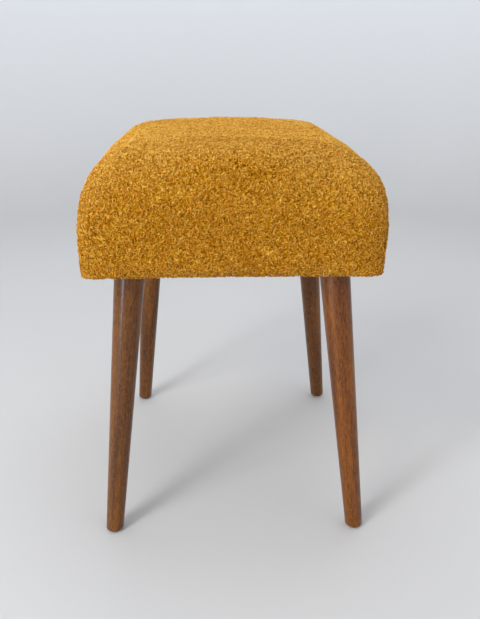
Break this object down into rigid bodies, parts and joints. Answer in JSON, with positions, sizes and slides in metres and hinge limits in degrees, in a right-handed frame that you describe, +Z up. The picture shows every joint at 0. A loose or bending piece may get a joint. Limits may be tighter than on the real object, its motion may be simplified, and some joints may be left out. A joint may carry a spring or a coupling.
{
  "type": "ottoman with storage",
  "caption": "Small upholstered ottoman on splayed tapered wooden legs, with a padded hood that hinges back over a shallow storage box.",
  "frame": {"origin": "on the floor, under the middle of the seat", "axes": "+X to the user's right across the seat, +Y from the front to the hinged rear, +Z up"},
  "size_m": [0.32, 0.36, 0.45],
  "materials": {
    "boucle": "mustard looped boucle",
    "foam": "soft upholstery foam",
    "wadding": "white polyester wadding",
    "plywood": "plain plywood",
    "lining_board": "dark lining paper on board",
    "pine": "planed softwood",
    "felt": "dark felt",
    "walnut": "semi-gloss dark walnut stain",
    "nylon": "black nylon",
    "rubber": "black rubber",
    "steel": "plain steel",
    "zinc": "zinc plated"
  },
  "bodies": {
    "base": {"base_board": "plywood", "front_batten": "pine", "rear_batten": "pine", "box_front_wall": "plywood", "box_rear_wall": "plywood", "box_left_wall": "plywood", "box_right_wall": "plywood", "floor_mat": "felt", "bumpers": "rubber", "stop_pads": "rubber", "leg_front_left": "walnut", "leg_front_right": "walnut", "leg_rear_left": "walnut", "leg_rear_right": "walnut", "glide_front_left": "nylon", "glide_front_right": "nylon", "glide_rear_left": "nylon", "glide_rear_right": "nylon", "hinge_base_leaf_left": "steel", "hinge_base_leaf_right": "steel", "hinge_pin_left": "steel", "hinge_pin_right": "steel", "hinge_base_screws": "steel", "hanger_bolts": "zinc", "tee_nuts": "zinc", "wall_screws": "zinc", "batten_screws": "zinc"},
    "hood": {"seat_cover": "boucle", "seat_foam": "foam", "front_pad": "wadding", "rear_pad": "wadding", "left_pad": "wadding", "right_pad": "wadding", "seat_deck": "plywood", "front_skirt": "plywood", "rear_skirt": "plywood", "left_skirt": "plywood", "right_skirt": "plywood", "ceiling_panel": "lining_board", "corner_block_front_left": "pine", "corner_block_front_right": "pine", "corner_block_rear_left": "pine", "corner_block_rear_right": "pine", "hinge_lid_leaf_left": "steel", "hinge_lid_leaf_right": "steel", "hinge_lid_screws": "steel", "cover_staples": "zinc", "deck_screws": "zinc", "ceiling_pins": "zinc"}
  },
  "joints": [
    {"name": "hood_hinge", "type": "hinge", "parent": "base", "child": "hood", "pos_m": [0, 0.15655, 0.3155], "axis": [-1, 0, 0], "range_deg": [0, 90]}
  ]
}
